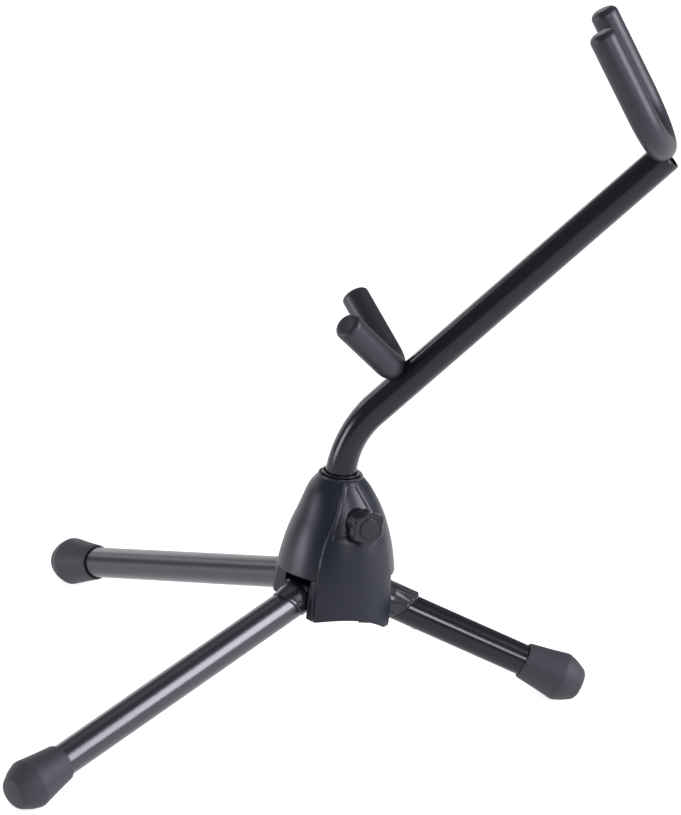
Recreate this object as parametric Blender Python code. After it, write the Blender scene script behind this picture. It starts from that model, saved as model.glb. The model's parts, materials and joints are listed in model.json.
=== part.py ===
"""Folding tabletop saxophone stand: tripod hub, clamped bent mast, two padded yokes.

Metres, +Z up. The origin is on the floor, at the centre of the stand's footprint box.
+X is the way the mast leans; the tripod is symmetric about the XZ plane, apart from the clamp.
The mast stands at rest with a small turn about the hub axis.
"""
import math

import bmesh
import bpy
import numpy as np
from mathutils import Matrix, Vector

MM = 0.001
GAP = 0.3 * MM

# Driving dimensions
TUBE_R = 9.5 * MM
TUBE_WALL = 1.2 * MM
HUB_AXIS_LEAN = math.radians(4.13)
LEG_MEET = Vector((-7.3, 0.0, 75.2)) * MM

HUB_TOP = 64.8 * MM
HUB_BOTTOM = -18.9 * MM
SKIN_SHIFT = 2.3 * MM
SKIN_SHIFT_SPAN = 26.0 * MM
BASE_TILT = math.radians(6.7)
HUB_OUTLINE = (
    (36.7, -18.9), (36.5, -6.0), (34.9, 9.3), (31.5, 25.8), (26.2, 41.0), (19.2, 56.2), (13.4, 63.8),
)
HUB_BORE_R = 11.4 * MM
SLOT_WIDTH = 23.5 * MM
SLOT_TOP = 6.5 * MM
SLOT_INNER = 13.3 * MM
PLATE_R = 27.5 * MM
PLATE_TOP = -14.6 * MM
PLATE_BOTTOM = -16.6 * MM
PANEL_ARCH_RISE = 6.5 * MM

PIN_RADIUS_FROM_AXIS = 23.0 * MM
PIN_R = 2.5 * MM
PIN_LENGTH = 32.5 * MM

FOOT_RIM_R = 11.1 * MM
FOOT_MAX_R = 14.9 * MM
FOOT_END_R = 8.9 * MM
FOOT_FLARE = 25.0 * MM
FOOT_NOSE = 12.9 * MM
FOOT_SOCKET = 22.0 * MM
FOOT_FLAT_DEPTH = 0.6 * MM

LEGS = {
    "front": {"azimuth": math.radians(228.35), "slope": math.radians(16.72), "collar": 38.7 * MM},
    "back": {"azimuth": math.radians(131.65), "slope": math.radians(16.72), "collar": 38.7 * MM},
    "right": {"azimuth": 0.0, "slope": math.radians(19.95), "collar": 47.0 * MM},
}
COLLAR_CUT_ANGLE = math.radians(29.0)
KNUCKLE_HALF_WIDTH = 11.1 * MM

# The mast and its yokes are measured from the leg meet, before the mast's turn
MAST_TURN = math.radians(-3.2)
MAST_ANGLE = math.radians(44.0)
MAST_BEND_R = 67.0 * MM
MAST_CORNER = 87.9 * MM
MAST_END = Vector((190.4, 0.0, 265.2)) * MM
MAST_FOOT = -9.5 * MM
BUSH_OUTER_R = 11.1 * MM
BUSH_INNER_R = 9.9 * MM
BUSH_LOW = 4.0 * MM
BUSH_LIP_R = 12.2 * MM
BUSH_LIP = 1.5 * MM

KNOB_AZIMUTH = math.radians(-60.0)
KNOB_HEIGHT = 43.0 * MM
KNOB_R = 10.7 * MM
KNOB_FACE = 38.5 * MM
KNOB_BACK = 29.1 * MM
CLAMP_BOSS_R = 7.5 * MM
CLAMP_BOSS_END = 28.0 * MM
SCREW_R = 3.0 * MM
SCREW_START = 15.6 * MM
SCREW_END = 34.0 * MM
PAD_R = 3.2 * MM
PAD_START = 11.5 * MM
INSERT_R = 4.8 * MM
INSERT_START = 18.1 * MM
INSERT_END = 27.4 * MM
CAP_R = 6.2 * MM
CAP_SEAT = 34.9 * MM
BASE_SCREW_RADIUS = 21.0 * MM
RIVET_FROM_COLLAR = 12.0 * MM
RIVET_R = 1.5 * MM

YOKE_ROD_R = 4.0 * MM
YOKE_SLEEVE_R = 8.3 * MM
UPPER_YOKE_BASE = Vector((187.2, 0.0, 271.2)) * MM
UPPER_YOKE_ANGLE = math.radians(117.6)
UPPER_YOKE_HALF = 29.5 * MM
UPPER_YOKE_REACH = 81.2 * MM
LOWER_YOKE_BASE = Vector((33.7, 0.0, 133.1)) * MM
LOWER_YOKE_ANGLE = math.radians(127.3)
LOWER_YOKE_HALF = 32.3 * MM
LOWER_YOKE_BEND_R = 11.3 * MM
LOWER_YOKE_SPLAY = math.radians(32.0)

COLOURS = {
    "nylon": ((0.030, 0.032, 0.040), 0.45, 0.0),
    "black_lacquer": ((0.012, 0.012, 0.016), 0.25, 0.0),
    "grey_lacquer": ((0.085, 0.080, 0.095), 0.30, 0.2),
    "rubber": ((0.075, 0.073, 0.085), 0.75, 0.0),
    "foam": ((0.050, 0.050, 0.060), 0.85, 0.0),
    "steel": ((0.55, 0.55, 0.56), 0.30, 1.0),
    "brass": ((0.70, 0.52, 0.25), 0.35, 1.0),
}


def clear_scene():
    for item in list(bpy.data.objects):
        bpy.data.objects.remove(item, do_unlink=True)


def material(name):
    found = bpy.data.materials.get(name)
    if found:
        return found
    colour, roughness, metallic = COLOURS[name]
    made = bpy.data.materials.new(name)
    made.use_nodes = True
    shader = made.node_tree.nodes["Principled BSDF"]
    shader.inputs["Base Color"].default_value = (*colour, 1.0)
    shader.inputs["Roughness"].default_value = roughness
    shader.inputs["Metallic"].default_value = metallic
    return made


def empty(name, matrix, parent=None):
    holder = bpy.data.objects.new(name, None)
    bpy.context.collection.objects.link(holder)
    holder.parent = parent
    holder.matrix_world = matrix
    bpy.context.view_layer.update()
    return holder


def add_object(name, mesh_builder, parent, colour=None, local=None):
    """Makes an object from a bmesh; local places it in its parent's frame."""
    mesh = bpy.data.meshes.new(name)
    bmesh.ops.recalc_face_normals(mesh_builder, faces=mesh_builder.faces)
    mesh_builder.to_mesh(mesh)
    mesh_builder.free()
    made = bpy.data.objects.new(name, mesh)
    bpy.context.collection.objects.link(made)
    made.parent = parent
    if local is not None:
        made.matrix_local = local
    if colour:
        mesh.materials.append(material(colour))
        mesh.shade_smooth()
        mesh.set_sharp_from_angle(angle=math.radians(35))
    else:
        made.hide_render = True
        made.display_type = "WIRE"
    return made


def cut(target, cutter):
    modifier = target.modifiers.new(cutter.name, "BOOLEAN")
    modifier.operation = "DIFFERENCE"
    modifier.solver = "EXACT"
    modifier.object = cutter


def join(target, tool):
    modifier = target.modifiers.new(tool.name, "BOOLEAN")
    modifier.operation = "UNION"
    modifier.solver = "EXACT"
    modifier.object = tool


def bridge(builder, ring_a, ring_b):
    """Faces between two rings; a one-vertex ring is a pole."""
    count = max(len(ring_a), len(ring_b))
    for i in range(count):
        j = (i + 1) % count
        if len(ring_a) == 1:
            builder.faces.new((ring_a[0], ring_b[j], ring_b[i]))
        elif len(ring_b) == 1:
            builder.faces.new((ring_a[i], ring_a[j], ring_b[0]))
        else:
            builder.faces.new((ring_a[i], ring_a[j], ring_b[j], ring_b[i]))


def lathe(profile, segments=24, ring=False):
    """Turns (radius, height) points about local Z. A ring profile closes on itself."""
    builder = bmesh.new()
    rings = []
    for radius, height in profile:
        if radius < 1e-9:
            rings.append([builder.verts.new((0.0, 0.0, height))])
            continue
        turn = [2 * math.pi * k / segments for k in range(segments)]
        rings.append([builder.verts.new((radius * math.cos(a), radius * math.sin(a), height)) for a in turn])
    for ring_a, ring_b in zip(rings, rings[1:]):
        bridge(builder, ring_a, ring_b)
    if ring:
        bridge(builder, rings[-1], rings[0])
    return builder


def cylinder(radius, low, high, segments=20):
    return lathe(((0.0, low), (radius, low), (radius, high), (0.0, high)), segments)


def tube(outer, inner, low, high, segments=24):
    return lathe(((outer, low), (outer, high), (inner, high), (inner, low)), segments, ring=True)


def box(low, high):
    builder = bmesh.new()
    bmesh.ops.create_cube(builder, size=1.0)
    for vertex in builder.verts:
        for axis in range(3):
            vertex.co[axis] = low[axis] if vertex.co[axis] < 0 else high[axis]
    return builder


def sweep(points, radii, segments=20):
    """A round bar along a path, with a radius at each point; the ring is carried on without twist."""
    builder = bmesh.new()
    rings = []
    side = None
    for k, point in enumerate(points):
        before = points[max(k - 1, 0)]
        after = points[min(k + 1, len(points) - 1)]
        ahead = (after - before).normalized()
        if side is None:
            side = ahead.orthogonal().normalized()
        side = (side - ahead * side.dot(ahead)).normalized()
        other = ahead.cross(side)
        turn = [2 * math.pi * i / segments for i in range(segments)]
        ring = [point + (side * math.cos(a) + other * math.sin(a)) * radii[k] for a in turn]
        rings.append([builder.verts.new(co) for co in ring])
    for ring_a, ring_b in zip(rings, rings[1:]):
        bridge(builder, ring_a, ring_b)
    builder.faces.new(rings[0])
    builder.faces.new(list(reversed(rings[-1])))
    return builder


def extrude_outline(points, half_width):
    """A closed (x, z) outline extruded along Y to both sides."""
    builder = bmesh.new()
    near = [builder.verts.new((x, -half_width, z)) for x, z in points]
    far = [builder.verts.new((x, half_width, z)) for x, z in points]
    bridge(builder, near, far)
    builder.faces.new(near)
    builder.faces.new(list(reversed(far)))
    return builder


def smooth_outline(points, steps=2):
    """Catmull-Rom curve through the points."""
    padded = [np.array(p) for p in (points[0], *points, points[-1])]
    out = []
    for a, b, c, d in zip(padded, padded[1:], padded[2:], padded[3:]):
        square = 2 * a - 5 * b + 4 * c - d
        cube = 3 * b - a - 3 * c + d
        for k in range(steps):
            t = k / steps
            out.append(tuple(b + 0.5 * ((c - a) * t + square * t * t + cube * t ** 3)))
    return [*out, points[-1]]


def frame_matrix(origin, x_axis, z_axis):
    x_axis = x_axis.normalized()
    z_axis = z_axis.normalized()
    y_axis = z_axis.cross(x_axis)
    columns = Matrix((x_axis, y_axis, z_axis)).transposed()
    return Matrix.Translation(origin) @ columns.to_4x4()


def leg_direction(leg):
    slope, azimuth = leg["slope"], leg["azimuth"]
    outward = Vector((math.cos(azimuth), math.sin(azimuth), 0.0))
    return outward * math.cos(slope) - Vector((0.0, 0.0, math.sin(slope)))


def hub_matrix():
    return Matrix.Translation(LEG_MEET) @ Matrix.Rotation(HUB_AXIS_LEAN, 4, "Y")


def hub_axis():
    return Vector((math.sin(HUB_AXIS_LEAN), 0.0, math.cos(HUB_AXIS_LEAN)))


def mast_matrix():
    """The mast's frame: at the leg meet, turned about the hub axis."""
    return Matrix.Translation(LEG_MEET) @ Matrix.Rotation(MAST_TURN, 4, hub_axis())


def radial(azimuth):
    """Rotation about the hub axis that turns local +X to the azimuth."""
    return Matrix.Rotation(azimuth, 4, "Z")


def pin_centre(leg):
    drop = PIN_RADIUS_FROM_AXIS * math.tan(leg["slope"])
    return radial(leg["azimuth"]) @ Vector((PIN_RADIUS_FROM_AXIS, 0.0, -drop))


def along_radius(azimuth, height):
    """Local Z out along the azimuth at a height, for screws and the knob."""
    return radial(azimuth) @ Matrix.Translation((0.0, 0.0, height)) @ Matrix.Rotation(math.pi / 2, 4, "Y")


def panel_azimuths():
    return math.pi, math.radians(65.8), math.radians(-65.8)


def base_matrix():
    """The slanted frame of the hub's bottom, its plate and their screws."""
    centre = Matrix.Translation((0.0, 0.0, HUB_BOTTOM))
    return centre @ Matrix.Rotation(BASE_TILT, 4, "Y") @ centre.inverted()


def slant_skin(builder):
    """Moves the skin off the bore's axis below its top and slants the bottom."""
    for vertex in builder.verts:
        if math.hypot(vertex.co.x, vertex.co.y) > HUB_BORE_R + 0.5 * MM:
            share = min(max((HUB_TOP - vertex.co.z) / SKIN_SHIFT_SPAN, 0.0), 1.0)
            vertex.co.x += SKIN_SHIFT * share * share * (3 - 2 * share)
        if vertex.co.z < HUB_BOTTOM + 0.1 * MM:
            vertex.co.z -= vertex.co.x * math.tan(BASE_TILT)
    return builder


def make_hub(hub):
    outline = [(r * MM, z * MM) for r, z in HUB_OUTLINE]
    curve = smooth_outline(outline)
    rim = [(12.4 * MM, HUB_TOP), (HUB_BORE_R, HUB_TOP), (HUB_BORE_R, HUB_BOTTOM)]
    skin = slant_skin(lathe([*curve, *rim], 40, ring=True))
    body = add_object("hub_body", skin, hub, "nylon")
    for name, leg in LEGS.items():
        half = SLOT_WIDTH / 2
        slot = box((SLOT_INNER, -half, -41 * MM), (50 * MM, half, SLOT_TOP))
        cut(body, add_object(f"cut_slot_{name}", slot, hub, local=radial(leg["azimuth"])))
        centre = pin_centre(leg)
        reach = PIN_LENGTH / 2 + GAP
        bore = cylinder(PIN_R + GAP, -reach, reach, 12)
        place = Matrix.Translation(centre) @ radial(leg["azimuth"]) @ Matrix.Rotation(math.pi / 2, 4, "X")
        cut(body, add_object(f"cut_pin_{name}", bore, hub, local=place))
        snap_reach = reach - 0.2 * MM
        snap = box((-2.3 * MM, -snap_reach, -40 * MM), (2.3 * MM, snap_reach, -0.7 * MM))
        place = Matrix.Translation(centre) @ radial(leg["azimuth"])
        cut(body, add_object(f"cut_snap_{name}", snap, hub, local=place))
    recess = cylinder(PLATE_R + GAP, -42 * MM, PLATE_TOP + GAP, 36)
    cut(body, add_object("cut_plate_recess", recess, hub, local=base_matrix()))
    for number, azimuth in enumerate(panel_azimuths(), 1):
        arch_r = 46.0 * MM if number > 1 else 26.0 * MM
        arch = cylinder(arch_r, 26.5 * MM, 60 * MM, 48)
        place = base_matrix() @ along_radius(azimuth, HUB_BOTTOM + PANEL_ARCH_RISE - arch_r)
        cut(body, add_object(f"cut_arch_{number}", arch, hub, local=place))
        hole = cylinder(1.7 * MM, -43 * MM, PLATE_BOTTOM + 9.3 * MM, 12)
        place = base_matrix() @ radial(azimuth) @ Matrix.Translation((BASE_SCREW_RADIUS, 0.0, 0.0))
        cut(body, add_object(f"cut_screw_{number}", hole, hub, local=place))
    place = along_radius(KNOB_AZIMUTH, KNOB_HEIGHT)
    boss = cylinder(CLAMP_BOSS_R, 15 * MM, CLAMP_BOSS_END, 20)
    join(body, add_object("tool_boss", boss, hub, local=place))
    pad_hole = cylinder(PAD_R + 0.4 * MM, 5 * MM, 40 * MM, 14)
    cut(body, add_object("cut_pad_hole", pad_hole, hub, local=place))
    insert_hole = cylinder(INSERT_R + GAP, INSERT_START - GAP, 40 * MM, 18)
    cut(body, add_object("cut_insert_hole", insert_hole, hub, local=place))
    return body


def make_base_plate(hub):
    disc = cylinder(PLATE_R, PLATE_BOTTOM, PLATE_TOP, 36)
    plate = add_object("hub_base_plate", disc, hub, "nylon", local=base_matrix())
    for name, leg in LEGS.items():
        half = SLOT_WIDTH / 2 + 0.5 * MM
        notch = box((12.6 * MM, -half, -40 * MM), (50 * MM, half, 0.0))
        cut(plate, add_object(f"cut_notch_{name}", notch, hub, local=radial(leg["azimuth"])))
    for number, azimuth in enumerate(panel_azimuths(), 1):
        place = base_matrix() @ radial(azimuth) @ Matrix.Translation((BASE_SCREW_RADIUS, 0.0, 0.0))
        head_low, head_high = PLATE_BOTTOM, PLATE_BOTTOM + 1.4 * MM
        seat = lathe((
            (0.0, -40 * MM), (3.0 * MM, -40 * MM), (3.0 * MM, head_low), (1.7 * MM, head_high),
            (1.7 * MM, 0.0), (0.0, 0.0)), 12)
        cut(plate, add_object(f"cut_seat_{number}", seat, hub, local=place))
        screw = lathe((
            (0.0, head_low - 0.1 * MM), (2.5 * MM, head_low - 0.1 * MM), (2.6 * MM, head_low),
            (1.35 * MM, head_high - 0.1 * MM), (1.35 * MM, head_low + 8.2 * MM),
            (0.0, head_low + 9.0 * MM)), 12)
        add_object(f"base_screw_{number}", screw, hub, "steel", local=place)


def make_clamp(hub):
    """Split bush round the mast, brass insert, pressure pad, screw, knob and its cap."""
    low, high = BUSH_LOW, HUB_TOP + BUSH_LIP
    shoulder = HUB_TOP + GAP
    chamfer = 0.4 * MM
    bush = lathe((
        (BUSH_OUTER_R, low), (BUSH_OUTER_R, shoulder), (BUSH_LIP_R, shoulder), (BUSH_LIP_R, high - chamfer),
        (BUSH_LIP_R - chamfer, high), (BUSH_INNER_R, high), (BUSH_INNER_R, low)), 32, ring=True)
    bush = add_object("mast_bush", bush, hub, "nylon")
    half_split = 0.8 * MM
    split = box((0.0, -half_split, low - MM), (20 * MM, half_split, high + MM))
    cut(bush, add_object("cut_bush_split", split, hub, local=radial(math.pi)))
    place = along_radius(KNOB_AZIMUTH, KNOB_HEIGHT)
    insert = tube(INSERT_R, SCREW_R + GAP, INSERT_START, INSERT_END, 18)
    add_object("thread_insert", insert, hub, "brass", local=place)
    pad = cylinder(PAD_R, PAD_START, SCREW_START - GAP, 14)
    add_object("pressure_pad", pad, hub, "brass", local=place)
    add_object("clamp_screw", lathe((
        (0.0, SCREW_START), (SCREW_R - 0.6 * MM, SCREW_START), (SCREW_R, SCREW_START + 0.8 * MM),
        (SCREW_R, SCREW_END), (0.0, SCREW_END)), 14), hub, "steel", local=place)
    make_knob(hub, place)
    add_object("knob_cap", lathe((
        (0.0, CAP_SEAT + GAP), (CAP_R, CAP_SEAT + GAP), (CAP_R, KNOB_FACE + 0.2 * MM),
        (CAP_R - 0.8 * MM, KNOB_FACE + 0.6 * MM), (0.0, KNOB_FACE + 0.8 * MM),
    ), 20), hub, "nylon", local=place)


def make_knob(hub, place):
    """A six-lobed grip with a blind hole for the screw and a seat for the cap."""
    builder = bmesh.new()
    steps = 36
    levels = (
        (KNOB_BACK, 0.62), (KNOB_BACK + 0.1 * MM, 0.64), (KNOB_BACK + 3.0 * MM, 0.94),
        (KNOB_BACK + 4.0 * MM, 1.0), (KNOB_FACE - 1.4 * MM, 1.0), (KNOB_FACE, 0.88),
    )
    rings = []
    for height, scale in levels:
        ring = []
        for k in range(steps):
            a = 2 * math.pi * k / steps
            radius = KNOB_R * scale * (1.0 - 0.045 * (1.0 - math.cos(6 * a)))
            ring.append(builder.verts.new((radius * math.cos(a), radius * math.sin(a), height)))
        rings.append(ring)
    for ring_a, ring_b in zip(rings, rings[1:]):
        bridge(builder, ring_a, ring_b)
    builder.faces.new(rings[0])
    builder.faces.new(list(reversed(rings[-1])))
    knob = add_object("clamp_knob", builder, hub, "nylon", local=place)
    bore = cylinder(SCREW_R + GAP, 20 * MM, SCREW_END + 0.4 * MM, 14)
    cut(knob, add_object("cut_knob_bore", bore, hub, local=place))
    seat = cylinder(CAP_R + GAP, CAP_SEAT, 60 * MM, 20)
    cut(knob, add_object("cut_cap_seat", seat, hub, local=place))


def bevelled_end_cut(position):
    """Local frame whose +X side lies beyond a slanted plane across the leg at the position."""
    return Matrix.Translation((position, 0.0, 0.0)) @ Matrix.Rotation(COLLAR_CUT_ANGLE, 4, "Y")


def rivet_place(collar):
    """Local +Z points down, out through the underside of the leg tube."""
    return Matrix.Translation((collar + RIVET_FROM_COLLAR, 0.0, 0.0)) @ Matrix.Rotation(math.pi, 4, "X")


def make_leg(name, leg, hub):
    direction = leg_direction(leg)
    up = Vector((0.0, 0.0, 1.0))
    up = (up - direction * up.dot(direction)).normalized()
    pivot = empty(f"leg_{name}_pivot", hub.matrix_world @ frame_matrix(pin_centre(leg), direction, up), hub)
    pivot_distance = PIN_RADIUS_FROM_AXIS / math.cos(leg["slope"])
    world_direction = hub.matrix_world.to_3x3() @ direction
    sink = -world_direction.z
    level = math.sqrt(1.0 - sink * sink)
    widest = (LEG_MEET.z + FOOT_FLAT_DEPTH - FOOT_MAX_R * level) / sink - pivot_distance
    rim = widest - FOOT_FLARE
    collar = leg["collar"] - pivot_distance
    make_knuckle(name, leg, pivot, collar)
    make_leg_tube(name, pivot, collar, rim)
    make_foot(name, pivot, rim)
    turn = Matrix.Rotation(math.pi / 2, 4, "X")
    half = PIN_LENGTH / 2
    chamfer = 0.4 * MM
    pin = lathe((
        (0.0, -half), (PIN_R - chamfer, -half), (PIN_R, chamfer - half), (PIN_R, half - chamfer),
        (PIN_R - chamfer, half), (0.0, half)), 12)
    add_object(f"leg_{name}_pin", pin, pivot, "steel", local=turn)
    place = rivet_place(collar)
    rivet = lathe((
        (0.0, 4.0 * MM), (RIVET_R, 4.0 * MM), (RIVET_R, TUBE_R + GAP), (2.8 * MM, TUBE_R + GAP),
        (2.2 * MM, TUBE_R + 1.1 * MM), (0.0, TUBE_R + 1.4 * MM)), 12)
    add_object(f"leg_{name}_rivet", rivet, pivot, "steel", local=place)


def make_knuckle(name, leg, pivot, collar):
    """Moulded hinge block: round the pin, a stop shoulder on top, a collar and a plug in the tube."""
    round_r = 9.2 * MM
    slope = leg["slope"]
    outline = []
    for k in range(10):
        a = math.radians(95 + 175 * k / 9) + slope
        outline.append((round_r * math.cos(a), round_r * math.sin(a)))
    outline.append((collar + 8 * MM, -9.6 * MM))
    outline.append((collar + 8 * MM, 10.8 * MM))
    outline.append((11.0 * MM, 10.8 * MM))
    drop = PIN_RADIUS_FROM_AXIS * math.tan(slope)
    for x, z in ((8.0 * MM, SLOT_TOP + drop - GAP), (0.5 * MM, SLOT_TOP + drop - GAP)):
        outline.append((x * math.cos(slope) - z * math.sin(slope), x * math.sin(slope) + z * math.cos(slope)))
    block = add_object(
        f"leg_{name}_knuckle", extrude_outline(outline, KNUCKLE_HALF_WIDTH), pivot, "nylon")
    far = 80 * MM
    end_cut = box((0.0, -far, -far), (far, far, far))
    cut(block, add_object(f"cut_collar_{name}", end_cut, pivot, local=bevelled_end_cut(collar)))
    along = Matrix.Rotation(math.pi / 2, 4, "Y")
    plug = cylinder(TUBE_R - TUBE_WALL - GAP, collar - 9 * MM, collar + 20 * MM)
    join(block, add_object(f"tool_plug_{name}", plug, pivot, local=along))
    turn = Matrix.Rotation(math.pi / 2, 4, "X")
    bore = cylinder(PIN_R + GAP, -30 * MM, 30 * MM, 12)
    cut(block, add_object(f"cut_bore_{name}", bore, pivot, local=turn))
    place = rivet_place(collar)
    hole = cylinder(RIVET_R + GAP, 3.5 * MM, 20 * MM, 12)
    cut(block, add_object(f"cut_plug_rivet_{name}", hole, pivot, local=place))


def make_leg_tube(name, pivot, collar, rim):
    along = Matrix.Rotation(math.pi / 2, 4, "Y")
    far_end = rim + FOOT_SOCKET - GAP
    shape = tube(TUBE_R, TUBE_R - TUBE_WALL, collar - 8 * MM, far_end)
    pipe = add_object(f"leg_{name}_tube", shape, pivot, "grey_lacquer", local=along)
    far = 80 * MM
    end_cut = box((-far, -far, -far), (0.0, far, far))
    cut(pipe, add_object(f"cut_mitre_{name}", end_cut, pivot, local=bevelled_end_cut(collar + GAP)))
    place = rivet_place(collar)
    hole = cylinder(RIVET_R + GAP, 4 * MM, 20 * MM, 12)
    cut(pipe, add_object(f"cut_rivet_hole_{name}", hole, pivot, local=place))


def make_foot(name, pivot, rim):
    """Rubber ferrule: flared skirt, steep nose, blind socket, and a flat where it meets the floor."""
    along = Matrix.Translation((rim, 0.0, 0.0)) @ Matrix.Rotation(math.pi / 2, 4, "Y")
    socket_r = TUBE_R + GAP
    widest = FOOT_FLARE
    nose = FOOT_FLARE + FOOT_NOSE
    shape = lathe((
        (0.0, FOOT_SOCKET), (socket_r, FOOT_SOCKET), (socket_r, 0.0), (FOOT_RIM_R - 0.5 * MM, 0.0),
        (FOOT_RIM_R, 0.6 * MM), (FOOT_MAX_R - 0.6 * MM, widest - 2.4 * MM), (FOOT_MAX_R, widest),
        (FOOT_MAX_R - 0.7 * MM, widest + 1.4 * MM), (FOOT_END_R + 0.6 * MM, nose - 0.7 * MM),
        (FOOT_END_R - 0.9 * MM, nose), (0.0, nose)), 32)
    foot = add_object(f"leg_{name}_foot", shape, pivot, "rubber", local=along)
    floor = box((-0.5, -0.5, -0.1), (0.5, 0.5, 0.0))
    cut(foot, add_object(f"cut_floor_{name}", floor, None))


def mast_path():
    """Up the hub axis, round one bend in the XZ plane, then straight to the top end."""
    axis = hub_axis()
    upper = Vector((math.cos(MAST_ANGLE), 0.0, math.sin(MAST_ANGLE)))
    turn = math.pi / 2 - HUB_AXIS_LEAN - MAST_ANGLE
    corner = axis * MAST_CORNER
    setback = MAST_BEND_R * math.tan(turn / 2)
    start = corner - axis * setback
    inward = Vector((axis.z, 0.0, -axis.x))
    centre = start + inward * MAST_BEND_R
    points = [axis * MAST_FOOT]
    steps = 7
    for k in range(steps + 1):
        a = turn * k / steps
        points.append(centre + (axis * math.sin(a) - inward * math.cos(a)) * MAST_BEND_R)
    finish = points[-1]
    points.append(finish + upper * (MAST_END - finish).dot(upper))
    return points


def make_mast(mast):
    points = mast_path()
    shape = sweep(points, [TUBE_R] * len(points), 24)
    pipe = add_object("mast_tube", shape, mast, "black_lacquer")
    inner = list(points)
    inner[0] = points[0] + (points[0] - points[1]).normalized() * 5 * MM
    inner[-1] = points[-1] + (points[-1] - points[-2]).normalized() * 5 * MM
    hollow = sweep(inner, [TUBE_R - TUBE_WALL] * len(inner))
    cut(pipe, add_object("cut_mast_hollow", hollow, mast))
    yoke = upper_yoke_path()
    rod_space = [YOKE_ROD_R + GAP] * len(yoke)
    cut(pipe, add_object("cut_mast_rod_notch", sweep(yoke, rod_space, 12), mast))
    plug_r = TUBE_R - TUBE_WALL - GAP
    low = points[0]
    axis = (points[1] - points[0]).normalized()
    stations = (-1.4 * MM, -GAP, 0.01 * MM - GAP, 10 * MM)
    flange_r = TUBE_R - 0.3 * MM
    plug = sweep([low + axis * s for s in stations], [flange_r, flange_r, plug_r, plug_r])
    add_object("mast_bottom_plug", plug, mast, "nylon")
    top = points[-1]
    axis = (points[-1] - points[-2]).normalized()
    plug = sweep([top - axis * 16 * MM, top - axis * 1.2 * MM], [plug_r, plug_r])
    plug = add_object("mast_top_plug", plug, mast, "nylon")
    cut(plug, add_object("cut_plug_rod_notch", sweep(yoke, rod_space, 12), mast))


def yoke_path(base, plane_angle, half_width, bend_r, splay, reach):
    """A U in the plane of Y and a slanted direction: arm, bend at the mast, arm."""
    rise = Vector((math.cos(plane_angle), 0.0, math.sin(plane_angle)))
    across = Vector((0.0, 1.0, 0.0))
    sweep_angle = math.pi / 2 - splay
    steps = 6
    half = []
    for k in range(1, steps + 1):
        a = sweep_angle * k / steps
        half.append((bend_r * math.sin(a), bend_r * (1 - math.cos(a))))
    arm_y, arm_w = half[-1]
    run = (reach - arm_w) / math.cos(splay)
    if splay > 0:
        run = (half_width - arm_y) / math.sin(splay)
    half.append((arm_y + run * math.sin(splay), arm_w + run * math.cos(splay)))
    right = [base + across * y + rise * w for y, w in half]
    left = [base - across * y + rise * w for y, w in half]
    return [*reversed(left), base, *right]


def upper_yoke_path():
    return yoke_path(
        UPPER_YOKE_BASE, UPPER_YOKE_ANGLE, UPPER_YOKE_HALF, UPPER_YOKE_HALF, 0.0, UPPER_YOKE_REACH)


def lower_yoke_path():
    return yoke_path(
        LOWER_YOKE_BASE, LOWER_YOKE_ANGLE, LOWER_YOKE_HALF, LOWER_YOKE_BEND_R, LOWER_YOKE_SPLAY, 0.0)


def shorten(points, amount):
    """Takes the amount off both ends of a path."""
    out = list(points)
    out[0] = points[0] + (points[1] - points[0]).normalized() * amount
    out[-1] = points[-1] + (points[-2] - points[-1]).normalized() * amount
    return out


def padded_sleeve(points, radius, edge):
    """A solid bar along the path whose two ends are rounded over."""
    steps = 3
    first = (points[1] - points[0]).normalized()
    last = (points[-2] - points[-1]).normalized()
    line, radii = [], []
    for k in range(steps + 1):
        a = math.pi / 2 * k / steps
        line.append(points[0] + first * edge * (1 - math.cos(a)))
        radii.append(radius - edge + edge * math.sin(a))
    for point in points[1:-1]:
        line.append(point)
        radii.append(radius)
    for k in range(steps, -1, -1):
        a = math.pi / 2 * k / steps
        line.append(points[-1] + last * edge * (1 - math.cos(a)))
        radii.append(radius - edge + edge * math.sin(a))
    return sweep(line, radii, 18)


def make_yoke(name, points, mast):
    rod_line = shorten(points, 4.0 * MM)
    add_object(f"{name}_yoke_rod", sweep(rod_line, [YOKE_ROD_R] * len(points), 12), mast, "black_lacquer")
    sleeve = add_object(f"{name}_yoke_sleeve", padded_sleeve(points, YOKE_SLEEVE_R, 3.5 * MM), mast, "foam")
    bore_line = shorten(points, 3.7 * MM)
    bore = sweep(bore_line, [YOKE_ROD_R + GAP] * len(points), 12)
    cut(sleeve, add_object(f"cut_{name}_sleeve_bore", bore, mast))
    path = mast_path()
    saddle = sweep(path, [TUBE_R + GAP] * len(path), 24)
    cut(sleeve, add_object(f"cut_{name}_saddle", saddle, mast))


def main():
    clear_scene()
    hub = empty("hub_frame", hub_matrix())
    mast = empty("mast_frame", mast_matrix())
    make_hub(hub)
    make_base_plate(hub)
    make_clamp(hub)
    for name, leg in LEGS.items():
        make_leg(name, leg, hub)
    make_mast(mast)
    make_yoke("upper", upper_yoke_path(), mast)
    make_yoke("lower", lower_yoke_path(), mast)
    bpy.context.view_layer.update()


main()
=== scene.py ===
"""Looks of a folding saxophone stand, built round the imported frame. Metres, +Z up."""
import json
import math

import bmesh
import bpy
import numpy as np
from mathutils import Matrix, Vector


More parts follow.
